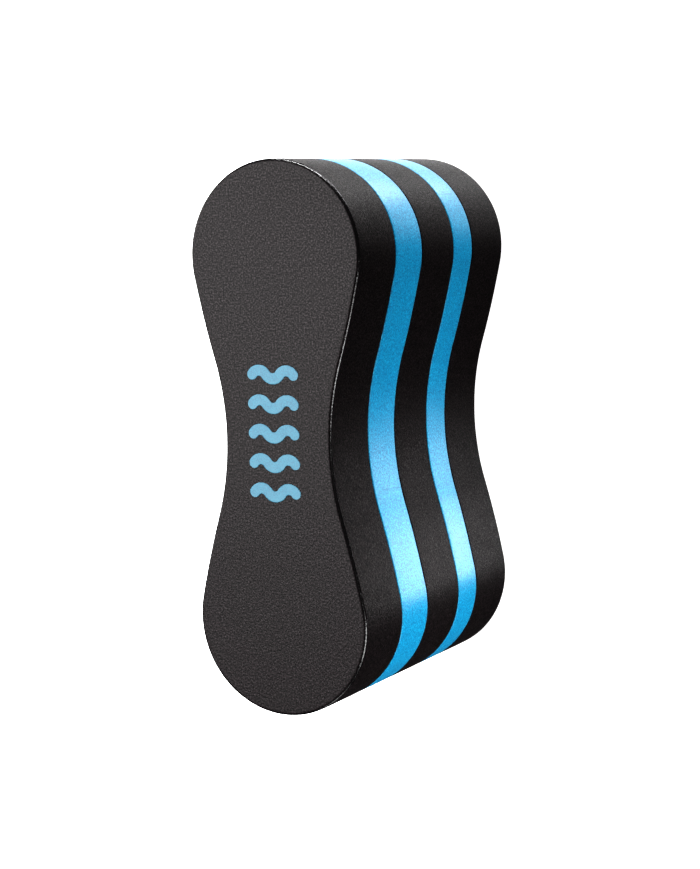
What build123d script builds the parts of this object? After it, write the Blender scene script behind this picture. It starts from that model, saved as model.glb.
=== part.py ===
from build123d import *
import math
import os

# A pull buoy: a block of closed-cell foam that a swimmer holds between the thighs.
# Five thick foam sheets, three black and two blue, are bonded face to face, and
# the block is cut through to a figure-eight outline.
#
# Frame (millimetres): the buoy lies on its back face.
#   X  across the figure eight, which is narrow at the waist
#   Y  along the figure eight, from lobe to lobe
#   Z  up through the sheets, from the back face (0) to the printed front face
# The origin is the middle of the back face.

# ---------------------------------------------------------------- dimensions
LENGTH = 230.0            # over both lobes, along Y
WAIST_WIDTH = 49.6        # narrowest width, halfway along
LOBE_RADIUS = 39.4        # rounded ends of the figure eight
LOBE_END_ANGLE = 12.0     # degrees that the lobe arc runs past the widest point
FLANK_RADIUS = 430.0      # almost flat flank between lobe and waist

BACK_LAYER = 33.0         # sheet thicknesses, from the back face to the front
NARROW_STRIPE = 18.5
MIDDLE_LAYER = 31.5
WIDE_STRIPE = 24.0
FRONT_LAYER = 33.0

EDGE_ROUND = 1.5          # rounded rim of the front and back faces
BOND_THICKNESS = 0.2      # adhesive between two sheets
BOND_INSET = 0.4          # the adhesive stops short of the cut outline

RIPPLE_COUNT = 5          # water ripples printed on the front face
RIPPLE_WIDTH = 24.0       # one ripple from end to end, along X
RIPPLE_STROKE = 4.6       # width of the printed line
RIPPLE_SWING = 1.7        # how far the line's middle swings to either side
RIPPLE_BENDS = 3          # bends in one ripple, alternately up and down
RIPPLE_PITCH = 12.2       # from one ripple to the next, along Y
PRINT_CENTRE = (-1.5, 3.0)
INK_THICKNESS = 0.15

SHEETS = [
    ("back_layer", BACK_LAYER),
    ("narrow_stripe_layer", NARROW_STRIPE),
    ("middle_layer", MIDDLE_LAYER),
    ("wide_stripe_layer", WIDE_STRIPE),
    ("front_layer", FRONT_LAYER),
]
THICKNESS = sum(thickness for name, thickness in SHEETS)


# ------------------------------------------------------------------- outline
def on_circle(centre, radius, angle):
    """Point of a circle, the angle in radians from +X towards -Y."""
    return (centre[0] + radius * math.cos(angle), centre[1] - radius * math.sin(angle))


def outline_face(inset=0.0):
    """Figure-eight face on the XY plane, pulled in by inset all round."""
    lobe_centre = (0.0, LENGTH / 2 - LOBE_RADIUS)
    lobe_end = math.radians(LOBE_END_ANGLE)

    # The flank arc leaves the lobe arc without a corner, so the two centres and
    # the joint lie on one line.
    flank_centre = on_circle(lobe_centre, LOBE_RADIUS - FLANK_RADIUS, lobe_end)

    # The waist arc passes the narrowest point and meets the flank arc without a corner.
    half_waist = WAIST_WIDTH / 2
    reach = half_waist - flank_centre[0]
    waist_radius = (reach**2 + flank_centre[1] ** 2 - FLANK_RADIUS**2) / (2 * (FLANK_RADIUS - reach))
    waist_centre = (half_waist + waist_radius, 0.0)
    flank_end = math.atan2(flank_centre[1], waist_centre[0] - flank_centre[0])

    lobe_tip = on_circle(lobe_centre, LOBE_RADIUS - inset, -math.pi / 2)
    lobe_shoulder = on_circle(lobe_centre, LOBE_RADIUS - inset, lobe_end / 2 - math.pi / 4)
    lobe_joint = on_circle(lobe_centre, LOBE_RADIUS - inset, lobe_end)
    flank_middle = on_circle(flank_centre, FLANK_RADIUS - inset, (lobe_end + flank_end) / 2)
    flank_joint = on_circle(flank_centre, FLANK_RADIUS - inset, flank_end)
    waist = (half_waist - inset, 0.0)

    def mirrored(point, side, end):
        return (side * point[0], end * point[1])

    def arc(points, side, end):
        return ThreePointArc(*[mirrored(point, side, end) for point in points])

    edges = []
    for side in (1, -1):
        for end in (1, -1):
            edges.append(arc((lobe_tip, lobe_shoulder, lobe_joint), side, end))
            edges.append(arc((lobe_joint, flank_middle, flank_joint), side, end))
        lower_joint = mirrored(flank_joint, 1, -1)
        edges.append(arc((flank_joint, waist, lower_joint), side, 1))
    return make_face(edges)


def slab(low, high, inset=0.0):
    """Figure-eight slab between two heights."""
    face = outline_face(inset)
    return Pos(0, 0, low) * extrude(face, amount=high - low, dir=(0, 0, 1))


# --------------------------------------------------------------- foam sheets
def foam_layers():
    """The five foam sheets, each stopping at the adhesive on its bonded faces."""
    layers = {}
    low = 0.0
    for name, thickness in SHEETS:
        high = low + thickness
        bottom = low if name == "back_layer" else low + BOND_THICKNESS / 2
        top = high if name == "front_layer" else high - BOND_THICKNESS / 2
        layer = slab(bottom, top)
        if name == "back_layer":
            layer = fillet(layer.edges().group_by(Axis.Z)[0], EDGE_ROUND)
        if name == "front_layer":
            layer = fillet(layer.edges().group_by(Axis.Z)[-1], EDGE_ROUND)
        layers[name] = layer
        low = high
    return layers


def bond_films():
    """The thin adhesive film in each joint, numbered from the back face."""
    films = {}
    seam = 0.0
    for number, (name, thickness) in enumerate(SHEETS[:-1], start=1):
        seam += thickness
        films[f"bond_film_{number}"] = slab(seam - BOND_THICKNESS / 2, seam + BOND_THICKNESS / 2, BOND_INSET)
    return films


# --------------------------------------------------------------------- print
def ripple_face():
    """One printed water ripple with round ends, centred on the origin."""
    span = (RIPPLE_WIDTH - RIPPLE_STROKE) / RIPPLE_BENDS
    start = -span * RIPPLE_BENDS / 2
    bends = []
    for bend in range(RIPPLE_BENDS):
        left = start + bend * span
        swing = RIPPLE_SWING * (-1) ** bend
        bends.append(ThreePointArc((left, 0), (left + span / 2, swing), (left + span, 0)))
    return SlotArc(Wire(bends), RIPPLE_STROKE)


def front_print():
    """The stack of ripples on the front face, numbered from the -Y end."""
    ripples = {}
    ripple = extrude(ripple_face(), amount=INK_THICKNESS, dir=(0, 0, 1))
    for number in range(RIPPLE_COUNT):
        offset = (number - (RIPPLE_COUNT - 1) / 2) * RIPPLE_PITCH
        place = Pos(PRINT_CENTRE[0], PRINT_CENTRE[1] + offset, THICKNESS)
        ripples[f"print_ripple_{number + 1}"] = place * ripple
    return ripples


# -------------------------------------------------------------------- output
os.makedirs("parts", exist_ok=True)
pieces = {**foam_layers(), **bond_films(), **front_print()}
for node, shape in pieces.items():
    shape.label = node
    export_step(shape, f"parts/{node}.step")
    box = shape.bounding_box()
    print(node, round(shape.volume, 1), box.min, box.max)
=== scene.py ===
import math

import bpy
import numpy as np
from mathutils import Matrix, Vector, noise


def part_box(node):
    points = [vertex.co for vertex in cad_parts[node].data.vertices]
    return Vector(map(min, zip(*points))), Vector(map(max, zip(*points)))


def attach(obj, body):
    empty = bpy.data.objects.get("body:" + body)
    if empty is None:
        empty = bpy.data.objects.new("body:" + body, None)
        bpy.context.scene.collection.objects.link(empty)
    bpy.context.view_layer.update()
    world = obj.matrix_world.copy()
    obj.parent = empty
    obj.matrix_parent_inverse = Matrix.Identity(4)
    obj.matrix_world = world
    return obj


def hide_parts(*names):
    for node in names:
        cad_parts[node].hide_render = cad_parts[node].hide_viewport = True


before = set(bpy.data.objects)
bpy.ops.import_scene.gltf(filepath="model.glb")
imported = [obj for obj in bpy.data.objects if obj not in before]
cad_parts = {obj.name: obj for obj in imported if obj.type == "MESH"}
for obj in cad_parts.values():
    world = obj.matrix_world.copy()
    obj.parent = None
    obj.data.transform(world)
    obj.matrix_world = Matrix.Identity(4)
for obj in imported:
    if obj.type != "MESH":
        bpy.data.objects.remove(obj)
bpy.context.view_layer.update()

# ------------------------------------------------------------------ dimensions
# Metres. The buoy lies on its back face: X across the figure eight, Y along it,
# Z up through the foam sheets to the printed front face.
MM = 0.001
FRONT_LOW, FRONT_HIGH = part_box("front_layer")
LENGTH = FRONT_HIGH.y - FRONT_LOW.y
LOBE_RADIUS = (FRONT_HIGH.x - FRONT_LOW.x) / 2
TOP = FRONT_HIGH.z
WAIST_WIDTH = 49.6 * MM
LOBE_END = math.radians(12.0)      # the lobe arc runs this far past the widest point
FLANK_RADIUS = 430.0 * MM          # almost flat flank between lobe and waist

QUARTER_STEPS = 150                # outline steps from a lobe's tip to the waist
JOINT_SLACK = 1e-9                 # an outline step this near two arcs' joint belongs to both
FACE_COLUMNS = 48                  # steps across the front and back faces
WALL_STEP = 1.6 * MM               # height of one row of the cut wall
FEWEST_WALL_ROWS = 4

RIM_ROUND = 1.4 * MM               # softened rim of the front and back faces
ROUND_STEPS = 8                    # rows in a rounded edge
PLAIN_RIM_ROWS = 2                 # the rim's rows beside a face, which share the face's finish
RIM_SLOT = 1                       # material slot of the rim's glossier finish, whose colour is also painted darker as shade
SEAM_ROUND = 0.7 * MM              # a black sheet's edge beside a bonded joint
STRIPE_ROUND = 0.25 * MM           # a blue sheet's edge, which is cut crisper
PILLOW = 0.10 * MM                 # the cut wall stands proud between two joints

RIPPLE_STROKE = 4.6 * MM
RIPPLE_SWING = 1.7 * MM
RIPPLE_BENDS = 3
BEND_STEPS = 26                    # steps along one bend of a ripple
CAP_STEPS = 10                     # steps along one of its round ends
STROKE_COLUMNS = 14                # steps across the printed line
CAP_TIP_SHARE = 0.04               # a round end stops at this share of the full width
EDGE_WOBBLE = 0.07 * MM            # unevenness of the printed edge
WOBBLE_LENGTH = 0.8 * MM
INK_HEIGHT = 0.12 * MM
INK_SINK = 0.03 * MM               # the ink's underside is this far inside the foam

FLOOR_REACH = 6.0                  # the floor runs this far from the buoy each way
FLOOR_DROP = 0.1 * MM              # just under the lowest point of the uneven back face

# The foam's relief is the sum of slow waves, middling ones and a fine skin. Each has
# a wavelength, a height and a shift in wavelengths that keeps it unlike the others.
RELIEF_WAVES = [
    (38 * MM, 0.060, (0.0, 0.0, 0.0)),
    (11 * MM, 0.022, (7.3, 1.9, 4.1)),
    (3.2 * MM, 0.012, (2.7, 8.8, 0.6)),
]
RELIEF_UNIT = MM                   # the heights above are in millimetres

# Textures, in waves or cells per metre.
GRAIN_SCALE = 1400.0
CELL_SCALE = 1250.0
MOTTLE_SCALE = 60.0
STREAK_SCALE = 700.0
STREAK_STRETCH = (1.0, 1.0, 0.06)  # the cutter's streaks run along Z

LENS = 85.3                        # millimetres, on the sensor width below
SENSOR_WIDTH = 36.0
CAMERA_PLACE = Vector((0.4229, 0.1031, 0.8635))
CAMERA_AIM = Vector((-0.0038, -0.0054, 0.0700))
CAMERA_ROLL = math.radians(-103.7)


# ---------------------------------------------------------------------- camera
def make_camera():
    """The photograph's view: from above the front face, well out to its right."""
    data = bpy.data.cameras.new("camera")
    data.lens = LENS
    data.sensor_width = SENSOR_WIDTH
    data.clip_start = 0.05
    data.clip_end = 20.0
    camera = bpy.data.objects.new("camera", data)
    bpy.context.scene.collection.objects.link(camera)
    look = (CAMERA_AIM - CAMERA_PLACE).to_track_quat("-Z", "Y").to_matrix().to_4x4()
    roll = Matrix.Rotation(CAMERA_ROLL, 4, "Z")
    camera.matrix_world = Matrix.Translation(CAMERA_PLACE) @ look @ roll
    bpy.context.scene.camera = camera


# --------------------------------------------------------------------- outline
def arc_points(centre, radius, start, end, side):
    """An arc's function from 0..1 to points and outward normals, and the arc's length.

    start and end are the normal's angles, from +X towards -Y. side is 1 where the
    foam is inside the circle and -1 where it is outside.
    """
    def at(t):
        angle = start + (end - start) * t
        normal = np.stack([np.cos(angle), -np.sin(angle)], axis=-1)
        return np.array(centre) + side * radius * normal, normal

    return at, abs(end - start) * radius


def quarter_outline():
    """Points and normals from the +Y tip to the +X side of the waist, evenly spaced."""
    lobe = (0.0, LENGTH / 2 - LOBE_RADIUS)
    gap = LOBE_RADIUS - FLANK_RADIUS
    flank = (lobe[0] + gap * math.cos(LOBE_END), lobe[1] - gap * math.sin(LOBE_END))
    half_waist = WAIST_WIDTH / 2
    reach = half_waist - flank[0]
    waist_radius = (reach**2 + flank[1] ** 2 - FLANK_RADIUS**2) / (2 * (FLANK_RADIUS - reach))
    waist = (half_waist + waist_radius, 0.0)
    flank_end = math.atan2(flank[1], waist[0] - flank[0])
    arcs = [
        arc_points(lobe, LOBE_RADIUS, -math.pi / 2, LOBE_END, 1),
        arc_points(flank, FLANK_RADIUS, LOBE_END, flank_end, 1),
        arc_points(waist, waist_radius, flank_end, 0.0, -1),
    ]
    total = sum(length for at, length in arcs)
    distance = np.linspace(0, total, QUARTER_STEPS + 1)
    points = np.zeros((QUARTER_STEPS + 1, 2))
    normals = np.zeros((QUARTER_STEPS + 1, 2))
    begun = 0.0
    for at, length in arcs:
        here = (distance >= begun - JOINT_SLACK) & (distance <= begun + length + JOINT_SLACK)
        points[here], normals[here] = at((distance[here] - begun) / length)
        begun += length
    return points, normals


def full_outline():
    """The closed outline from the +Y tip, down the +X side and up the -X side."""
    points, normals = quarter_outline()
    down = np.array([1, -1])
    right = np.vstack([points, (points * down)[-2::-1]])
    right_n = np.vstack([normals, (normals * down)[-2::-1]])
    across = np.array([-1, 1])
    return (
        np.vstack([right, (right * across)[-2:0:-1]]),
        np.vstack([right_n, (right_n * across)[-2:0:-1]]),
    )


# ----------------------------------------------------------------- foam relief
def relief(point):
    """How far the foam surface stands from its true shape."""
    total = 0.0
    for wavelength, height, shift in RELIEF_WAVES:
        total += height * noise.noise(Vector(point) / wavelength + Vector(shift))
    return total * RELIEF_UNIT


def with_relief(verts, tilts):
    """The points moved along their own normals by the relief."""
    moved = []
    for point, tilt in zip(verts, tilts):
        height = relief(point)
        moved.append([point[axis] + tilt[axis] * height for axis in range(3)])
    return moved


def wall_profile(low, high, low_round, high_round):
    """Rows up one sheet's cut wall, each an inset, a height and a normal (out, up)."""
    rows = []
    for step in range(ROUND_STEPS + 1):
        angle = math.pi / 2 * (step / ROUND_STEPS - 1)
        inset = low_round * (1 - math.cos(angle))
        rows.append((inset, low + low_round * (1 + math.sin(angle)), angle))
    count = max(FEWEST_WALL_ROWS, round((high - low) / WALL_STEP))
    start, end = low + low_round, high - high_round
    for step in range(1, count):
        rows.append((0.0, start + (end - start) * step / count, 0.0))
    for step in range(ROUND_STEPS + 1):
        angle = math.pi / 2 * step / ROUND_STEPS
        inset = high_round * (1 - math.cos(angle))
        rows.append((inset, high - high_round * (1 - math.sin(angle)), angle))
    middle, half = (low + high) / 2, (high - low) / 2
    profile = []
    for inset, height, angle in rows:
        away = abs(height - middle) / half
        swell = PILLOW * (1 - away**4)
        profile.append((inset - swell, height, math.cos(angle), math.sin(angle)))
    return profile


def sheet_mesh(name, low, high, low_round, high_round, open_low, open_high):
    """One foam sheet as a closed mesh. An open side is a finished face, a bonded one is hidden."""
    outline, normals = full_outline()
    around = len(outline)
    verts, tilts, faces = [], [], []
    profile = wall_profile(low, high, low_round, high_round)
    for inset, height, out, up in profile:
        ring = outline - normals * inset
        for (x, y), (nx, ny) in zip(ring, normals):
            verts.append((x, y, height))
            tilts.append((nx * out, ny * out, up))
    wall = (len(profile) - 1) * around
    for a in range(0, wall, around):
        b = a + around
        for i in range(around):
            j = (i + 1) % around
            faces.append((a + j, a + i, b + i, b + j))
    close_side(verts, tilts, faces, 0, around, -1, FACE_COLUMNS if open_low else 1)
    close_side(verts, tilts, faces, wall, around, 1, FACE_COLUMNS if open_high else 1)
    piece = mesh_object(name, with_relief(verts, tilts), faces)

    # The rim's rows away from the face take the glossier material with the painted shade.
    plain, rounded = PLAIN_RIM_ROWS * around, ROUND_STEPS * around
    if open_low:
        set_material(piece, range(plain, rounded), RIM_SLOT)
    if open_high:
        set_material(piece, range(wall - rounded, wall - plain), RIM_SLOT)
    return piece


def set_material(piece, faces, slot):
    """Gives some of a piece's faces another of its material slots."""
    for face in faces:
        piece.data.polygons[face].material_index = slot


def close_side(verts, tilts, faces, first, around, up, columns):
    """Fills the ring that starts at vertex first with rows straight across, facing up (1) or down (-1)."""
    half = around // 2
    rows = []
    for i in range(1, half):
        right, left = first + i, first + around - i
        row = [right]
        for column in range(1, columns):
            t = column / columns
            row.append(len(verts))
            between = [verts[right][axis] * (1 - t) + verts[left][axis] * t for axis in range(3)]
            verts.append(tuple(between))
            tilts.append((0.0, 0.0, float(up)))
        row.append(left)
        rows.append(row)

    def add(face):
        faces.append(face if up > 0 else face[::-1])

    for above, below in zip(rows, rows[1:]):
        for c in range(columns):
            add((above[c], above[c + 1], below[c + 1], below[c]))
    tip, end = first, first + half
    for c in range(columns):
        add((tip, rows[0][c + 1], rows[0][c]))
        add((end, rows[-1][c], rows[-1][c + 1]))


def mesh_object(name, verts, faces):
    """A smooth-shaded mesh object at the origin of the frame."""
    mesh = bpy.data.meshes.new(name)
    mesh.from_pydata([tuple(v) for v in verts], [], faces)
    mesh.validate()
    mesh.update()
    mesh.polygons.foreach_set("use_smooth", [True] * len(mesh.polygons))
    piece = bpy.data.objects.new(name, mesh)
    bpy.context.scene.collection.objects.link(piece)
    return piece


# ----------------------------------------------------------------------- print
def ripple_line(width):
    """Centre line of one ripple, as points and left-hand normals: bends that swing up and down."""
    span = (width - RIPPLE_STROKE) / RIPPLE_BENDS
    radius = (span**2 / 4 + RIPPLE_SWING**2) / (2 * RIPPLE_SWING)
    half_angle = math.asin(span / 2 / radius)
    points, normals = [], []
    for bend in range(RIPPLE_BENDS):
        up = (-1) ** bend
        middle = (bend + 0.5) * span - RIPPLE_BENDS * span / 2
        centre = Vector((middle, up * (RIPPLE_SWING - radius)))
        last = bend == RIPPLE_BENDS - 1
        for step in range(BEND_STEPS + 1 if last else BEND_STEPS):
            angle = half_angle * (2 * step / BEND_STEPS - 1)
            away = Vector((math.sin(angle), up * math.cos(angle)))
            points.append(centre + radius * away)
            normals.append(away * up)
    return points, normals


def ripple_stations(width):
    """Cross-sections of one ripple: its middle, its normal and its share of the full width."""
    line, normals = ripple_line(width)
    turns = [math.pi / 2 * step / CAP_STEPS for step in range(1, CAP_STEPS + 1)]

    def cap(point, normal, along):
        reach = RIPPLE_STROKE / 2
        return [(point + along * (reach * math.sin(turn)), normal, math.cos(turn)) for turn in turns]

    back = Vector((-normals[0].y, normals[0].x))
    ahead = Vector((normals[-1].y, -normals[-1].x))
    stations = cap(line[0], normals[0], back)[::-1]
    stations += [(point, normal, 1.0) for point, normal in zip(line, normals)]
    stations += cap(line[-1], normals[-1], ahead)
    return stations


def ripple_point(centre, point, normal, side, share):
    """A point of the ink's upper surface. side runs from -1 to 1 across the printed line."""
    flat = point + normal * side * (RIPPLE_STROKE / 2) * max(share, CAP_TIP_SHARE)
    edge = max(abs(side), 1 - share)
    wobble = EDGE_WOBBLE * edge * noise.noise(Vector((flat.x, flat.y, 0.0)) / WOBBLE_LENGTH)
    x = centre.x + flat.x + normal.x * side * wobble
    y = centre.y + flat.y + normal.y * side * wobble
    return (x, y, TOP + relief((x, y, TOP)) + INK_HEIGHT)


def ripple_mesh(name, low, high):
    """One printed ripple: a skin of ink that follows the foam, with slightly uneven edges."""
    centre = (low + high) / 2
    stations = ripple_stations(high.x - low.x)
    verts, faces = [], []
    for point, normal, share in stations:
        for column in range(STROKE_COLUMNS + 1):
            side = 2 * column / STROKE_COLUMNS - 1
            verts.append(ripple_point(centre, point, normal, side, share))
    row_length = STROKE_COLUMNS + 1
    for row in range(len(stations) - 1):
        for column in range(STROKE_COLUMNS):
            a = row * row_length + column
            b = a + row_length
            faces.append((a, b, b + 1, a + 1))
    piece = mesh_object(name, verts, faces)
    if piece.data.polygons[0].normal.z < 0:
        piece.data.flip_normals()
    skin = piece.modifiers.new("ink", "SOLIDIFY")
    skin.thickness = INK_HEIGHT + INK_SINK
    skin.offset = -1.0
    return piece


# ------------------------------------------------------------------- materials
def new_material(name):
    """A material with its node tree, Principled shader and object coordinates."""
    material = bpy.data.materials.new(name)
    material.use_nodes = True
    tree = material.node_tree
    shader = tree.nodes["Principled BSDF"]
    coords = tree.nodes.new("ShaderNodeTexCoord")
    return material, tree, shader, coords


def noise_node(tree, coords, scale, detail, roughness, stretch=(1.0, 1.0, 1.0)):
    """Noise over the object, scale in waves per metre."""
    mapping = tree.nodes.new("ShaderNodeMapping")
    mapping.inputs["Scale"].default_value = stretch
    texture = tree.nodes.new("ShaderNodeTexNoise")
    texture.inputs["Scale"].default_value = scale
    texture.inputs["Detail"].default_value = detail
    texture.inputs["Roughness"].default_value = roughness
    tree.links.new(coords.outputs["Object"], mapping.inputs["Vector"])
    tree.links.new(mapping.outputs["Vector"], texture.inputs["Vector"])
    return texture.outputs["Fac"]


def cell_node(tree, coords, scale):
    """Distance from the middle of each foam cell, cells per metre."""
    texture = tree.nodes.new("ShaderNodeTexVoronoi")
    texture.inputs["Scale"].default_value = scale
    tree.links.new(coords.outputs["Object"], texture.inputs["Vector"])
    return texture.outputs["Distance"]


def remap(tree, value, from_low, from_high, to_low, to_high):
    """Carries one range of a value to another."""
    node = tree.nodes.new("ShaderNodeMapRange")
    node.inputs["From Min"].default_value = from_low
    node.inputs["From Max"].default_value = from_high
    node.inputs["To Min"].default_value = to_low
    node.inputs["To Max"].default_value = to_high
    tree.links.new(value, node.inputs["Value"])
    return node.outputs["Result"]


def combine(tree, operation, first, second):
    """Maths on two values, each a socket or a plain number."""
    node = tree.nodes.new("ShaderNodeMath")
    node.operation = operation
    for socket, value in zip(node.inputs, (first, second)):
        if isinstance(value, (int, float)):
            socket.default_value = value
        else:
            tree.links.new(value, socket)
    return node.outputs["Value"]


def blend_colours(tree, factor, first, second):
    """Mixes two colours, each a plain colour or a socket."""
    node = tree.nodes.new("ShaderNodeMix")
    node.data_type = "RGBA"
    tree.links.new(factor, node.inputs["Factor"])
    for socket, value in ((node.inputs["A"], first), (node.inputs["B"], second)):
        if isinstance(value, tuple):
            socket.default_value = (*value, 1.0)
        else:
            tree.links.new(value, socket)
    return node.outputs["Result"]


def add_bump(tree, shader, height, strength, distance):
    """Grain too fine for the mesh."""
    bump = tree.nodes.new("ShaderNodeBump")
    bump.inputs["Strength"].default_value = strength
    bump.inputs["Distance"].default_value = distance
    tree.links.new(height, bump.inputs["Height"])
    tree.links.new(bump.outputs["Normal"], shader.inputs["Normal"])


def facing_up(tree, coords):
    """How far the surface faces along Z: 1 on the front and back faces, 0 on the cut wall."""
    split = tree.nodes.new("ShaderNodeSeparateXYZ")
    tree.links.new(coords.outputs["Normal"], split.inputs["Vector"])
    return combine(tree, "ABSOLUTE", split.outputs["Z"], 0.0)


def foam_material(name, deep, body, speck, rough_low, rough_high, specular, ior):
    """Closed-cell foam: fine cells, pale specks, slow mottling, and streaks on the cut wall."""
    material, tree, shader, coords = new_material(name)
    grain = noise_node(tree, coords, GRAIN_SCALE, detail=2.0, roughness=0.6)
    cells = cell_node(tree, coords, CELL_SCALE)
    mottle = noise_node(tree, coords, MOTTLE_SCALE, detail=5.0, roughness=0.6)
    streaks = noise_node(tree, coords, STREAK_SCALE, detail=2.0, roughness=0.5, stretch=STREAK_STRETCH)

    base = blend_colours(tree, remap(tree, grain, 0.38, 0.60, 0.0, 1.0), deep, body)
    base = blend_colours(tree, remap(tree, grain, 0.56, 0.72, 0.0, 0.6), base, speck)
    base = blend_colours(tree, remap(tree, mottle, 0.3, 0.7, 0.0, 0.12), base, deep)
    tree.links.new(base, shader.inputs["Base Color"])
    tree.links.new(remap(tree, grain, 0.36, 0.64, rough_high, rough_low), shader.inputs["Roughness"])

    on_wall = remap(tree, facing_up(tree, coords), 0.55, 0.85, 0.4, 0.0)
    cut = combine(tree, "MULTIPLY", streaks, on_wall)
    pits = combine(tree, "MULTIPLY", cells, 0.8)
    height = combine(tree, "ADD", combine(tree, "ADD", grain, pits), cut)
    add_bump(tree, shader, height, strength=0.3, distance=0.25 * MM)

    shader.inputs["Specular IOR Level"].default_value = specular
    shader.inputs["IOR"].default_value = ior
    return material


def ink_material():
    """Matte screen-print ink, thin enough for the foam's grain to show through."""
    material, tree, shader, coords = new_material("print_ink")
    thin, full = (0.022, 0.105, 0.165), (0.050, 0.165, 0.225)
    bloom, pinhole = (0.060, 0.185, 0.245), (0.03, 0.10, 0.15)
    grain = noise_node(tree, coords, 1500.0, detail=2.0, roughness=0.6)
    dots = noise_node(tree, coords, 2100.0, detail=2.0, roughness=0.5)
    cloud = noise_node(tree, coords, 260.0, detail=3.0, roughness=0.6)
    colour = blend_colours(tree, remap(tree, grain, 0.35, 0.65, 0.0, 1.0), thin, full)
    colour = blend_colours(tree, remap(tree, cloud, 0.35, 0.65, 0.0, 0.35), colour, bloom)
    colour = blend_colours(tree, remap(tree, dots, 0.60, 0.70, 0.0, 0.7), colour, pinhole)
    tree.links.new(colour, shader.inputs["Base Color"])
    tree.links.new(remap(tree, grain, 0.3, 0.7, 0.5, 0.7), shader.inputs["Roughness"])
    add_bump(tree, shader, grain, strength=0.35, distance=0.18 * MM)
    return material


def glue_material():
    """Dried contact adhesive, seen only as a hairline in each joint."""
    material, tree, shader, coords = new_material("bond_adhesive")
    dark, pale = (0.004, 0.006, 0.009), (0.02, 0.024, 0.03)
    lumps = noise_node(tree, coords, 900.0, detail=4.0, roughness=0.6)
    colour = blend_colours(tree, remap(tree, lumps, 0.35, 0.65, 0.0, 1.0), dark, pale)
    tree.links.new(colour, shader.inputs["Base Color"])
    tree.links.new(remap(tree, lumps, 0.3, 0.7, 0.45, 0.7), shader.inputs["Roughness"])
    add_bump(tree, shader, lumps, strength=0.5, distance=0.2 * MM)
    return material


def floor_material():
    """Pale, slightly uneven, and glowing enough to stay white."""
    material, tree, shader, coords = new_material("pale_floor")
    tone = noise_node(tree, coords, 3.0, detail=2.0, roughness=0.5)
    grey, pale = (0.86, 0.86, 0.86), (0.90, 0.90, 0.90)
    colour = blend_colours(tree, remap(tree, tone, 0.3, 0.7, 0.0, 1.0), grey, pale)
    tree.links.new(colour, shader.inputs["Base Color"])
    shader.inputs["Roughness"].default_value = 0.8
    shader.inputs["Specular IOR Level"].default_value = 0.1
    shader.inputs["Emission Color"].default_value = (1.0, 1.0, 1.0, 1.0)
    shader.inputs["Emission Strength"].default_value = 0.55
    return material


# -------------------------------------------------------------------- the buoy
def build_foam(black, rim, blue):
    """The five foam sheets, in place of the plain CAD ones."""
    for layer in ("back", "narrow_stripe", "middle", "wide_stripe", "front"):
        node = f"{layer}_layer"
        low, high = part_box(node)
        first = layer == "back"
        last = layer == "front"
        striped = layer.endswith("stripe")
        seam_round = STRIPE_ROUND if striped else SEAM_ROUND
        piece = sheet_mesh(
            node.replace("layer", "foam"), low.z, high.z,
            RIM_ROUND if first else seam_round,
            RIM_ROUND if last else seam_round,
            first, last,
        )
        piece.data.materials.append(blue if striped else black)
        # The front and back sheets' rims get the glossier material, painted darker as shade.
        if first or last:
            piece.data.materials.append(rim)
        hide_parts(node)
        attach(piece, "root")


def build_print(ink):
    """The stack of printed ripples on the front face."""
    for node in sorted(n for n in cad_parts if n.startswith("print_ripple")):
        low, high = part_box(node)
        piece = ripple_mesh(node.replace("print", "ink"), low, high)
        piece.data.materials.append(ink)
        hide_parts(node)
        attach(piece, "root")


def finish_bonds(glue):
    """The CAD adhesive films stay, with a finish of their own."""
    for name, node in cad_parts.items():
        if name.startswith("bond_film"):
            node.data.materials.clear()
            node.data.materials.append(glue)


# ------------------------------------------------------------------ the studio
def soft_box(name, place, aim, size, power, spread=180.0, flatness=1.0):
    """A softbox that points from one place at another. flatness is its height over its width."""
    data = bpy.data.lights.new(name, "AREA")
    data.shape = "RECTANGLE"
    data.size = size
    data.size_y = size * flatness
    data.energy = power
    data.spread = math.radians(spread)
    light = bpy.data.objects.new(name, data)
    light.location = place
    light.rotation_euler = (Vector(aim) - Vector(place)).to_track_quat("-Z", "Y").to_euler()
    bpy.context.scene.collection.objects.link(light)


def make_floor():
    """A wide pale floor that neither lights the buoy nor blocks the softboxes under it."""
    sides = ((-1, -1), (1, -1), (1, 1), (-1, 1))
    corners = [(x * FLOOR_REACH, y * FLOOR_REACH, -FLOOR_DROP) for x, y in sides]
    floor = mesh_object("floor", corners, [(0, 1, 2, 3)])
    floor.data.materials.append(floor_material())
    floor.visible_diffuse = False
    floor.visible_glossy = False
    floor.visible_shadow = False


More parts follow.
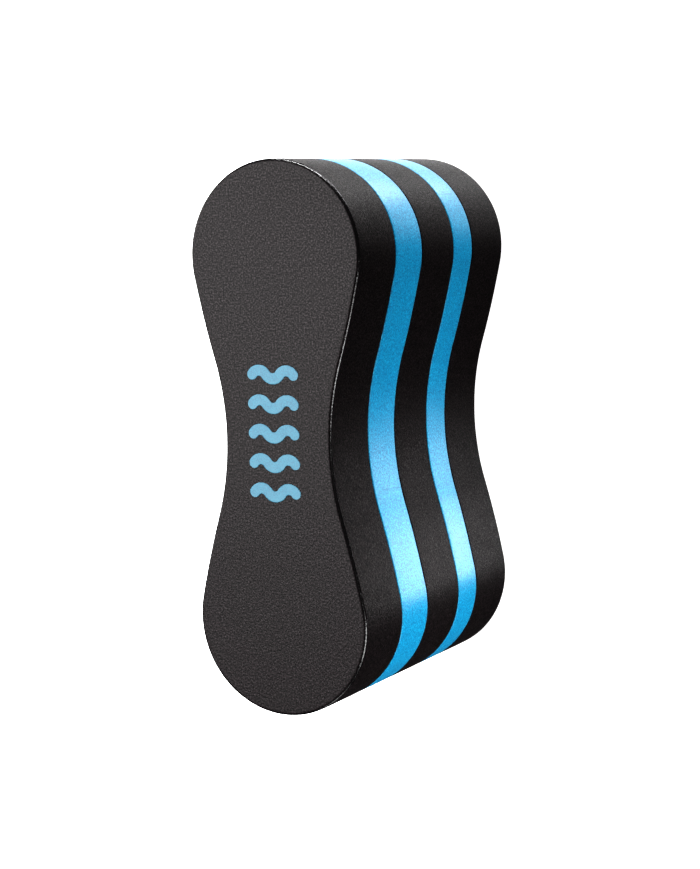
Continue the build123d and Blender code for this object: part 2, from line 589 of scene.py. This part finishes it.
def make_studio():
    """A dim white world, and softboxes around the buoy and under the floor, which casts no shadow."""
    scene = bpy.context.scene
    scene.view_settings.view_transform = "Standard"
    scene.view_settings.look = "High Contrast"
    world = bpy.data.worlds.new("studio")
    scene.world = world
    world.use_nodes = True
    background = world.node_tree.nodes["Background"]
    background.inputs["Color"].default_value = (1.0, 1.0, 1.0, 1.0)
    background.inputs["Strength"].default_value = 0.06

    # The main boxes. Those under the floor light the cut wall from below.
    middle = (0.0, 0.0, TOP / 2)
    soft_box("front_box", (-0.50, 0.12, 1.02), middle, size=0.9, power=26.4)
    soft_box("head_box", (0.208, 1.182, 0.07), middle, size=0.3, power=6.4)
    soft_box("head_under_box", (0.238, 0.734, -0.849), middle, size=0.3, power=1.16)
    soft_box("top_under_box", (0.10, 0.80, -0.70), middle, size=0.5, power=1.9)
    soft_box("side_under_box", (0.30, 0.45, -0.95), middle, size=0.5, power=1.0)
    soft_box("tip_under_box", (-0.40, 0.35, -0.85), middle, size=0.5, power=1.6)
    soft_box("foot_box", (0.15, -1.10, 0.10), middle, size=0.4, power=1.5)

    # A low strip for the -X wall, and one for the bright line on the +Y lobe's front rim.
    soft_box("left_strip", (-1.03, 0.20, 0.12), middle, size=0.6, power=3.0, flatness=0.4)
    soft_box("top_rim_strip", (-0.17, 1.10, 0.17), middle, size=0.5, power=8.0, flatness=0.2)

    # Small fills with a narrow spread for the -Y lobe.
    lower_lobe = (0.036, -0.072, TOP / 2)
    beside_lobe = (0.04, -0.09, 0.07)
    soft_box("low_fill", (0.40, -0.25, 0.15), beside_lobe, size=0.3, power=0.43, spread=70.0)
    soft_box("lobe_fill", (0.183, 0.267, 0.07), lower_lobe, size=0.1, power=0.0200, spread=28.0)
    soft_box("lobe_under_fill", (0.197, -0.050, -0.240), lower_lobe, size=0.1, power=0.0056, spread=22.0)


make_camera()
black_foam = foam_material(
    "black_foam",
    deep=(0.0002, 0.0001, 0.0001), body=(0.0134, 0.0092, 0.0102), speck=(0.045, 0.036, 0.039),
    rough_low=0.41, rough_high=0.55, specular=0.14, ior=1.5,
)
# The rim is glossier than the face, and its colour is painted darker than the face's: painted shade along
# the rim.
glossy_rim_painted_shade = foam_material(
    "glossy_rim_painted_shade",
    deep=(0.0020, 0.0017, 0.0018), body=(0.0060, 0.0052, 0.0055), speck=(0.016, 0.014, 0.015),
    rough_low=0.18, rough_high=0.24, specular=0.6, ior=1.5,
)
blue_foam = foam_material(
    "blue_foam",
    deep=(0.001, 0.188, 0.395), body=(0.001, 0.375, 0.630), speck=(0.040, 0.600, 0.800),
    rough_low=0.31, rough_high=0.39, specular=1.0, ior=1.48,
)
build_foam(black_foam, glossy_rim_painted_shade, blue_foam)
build_print(ink_material())
finish_bonds(glue_material())
make_floor()
make_studio()
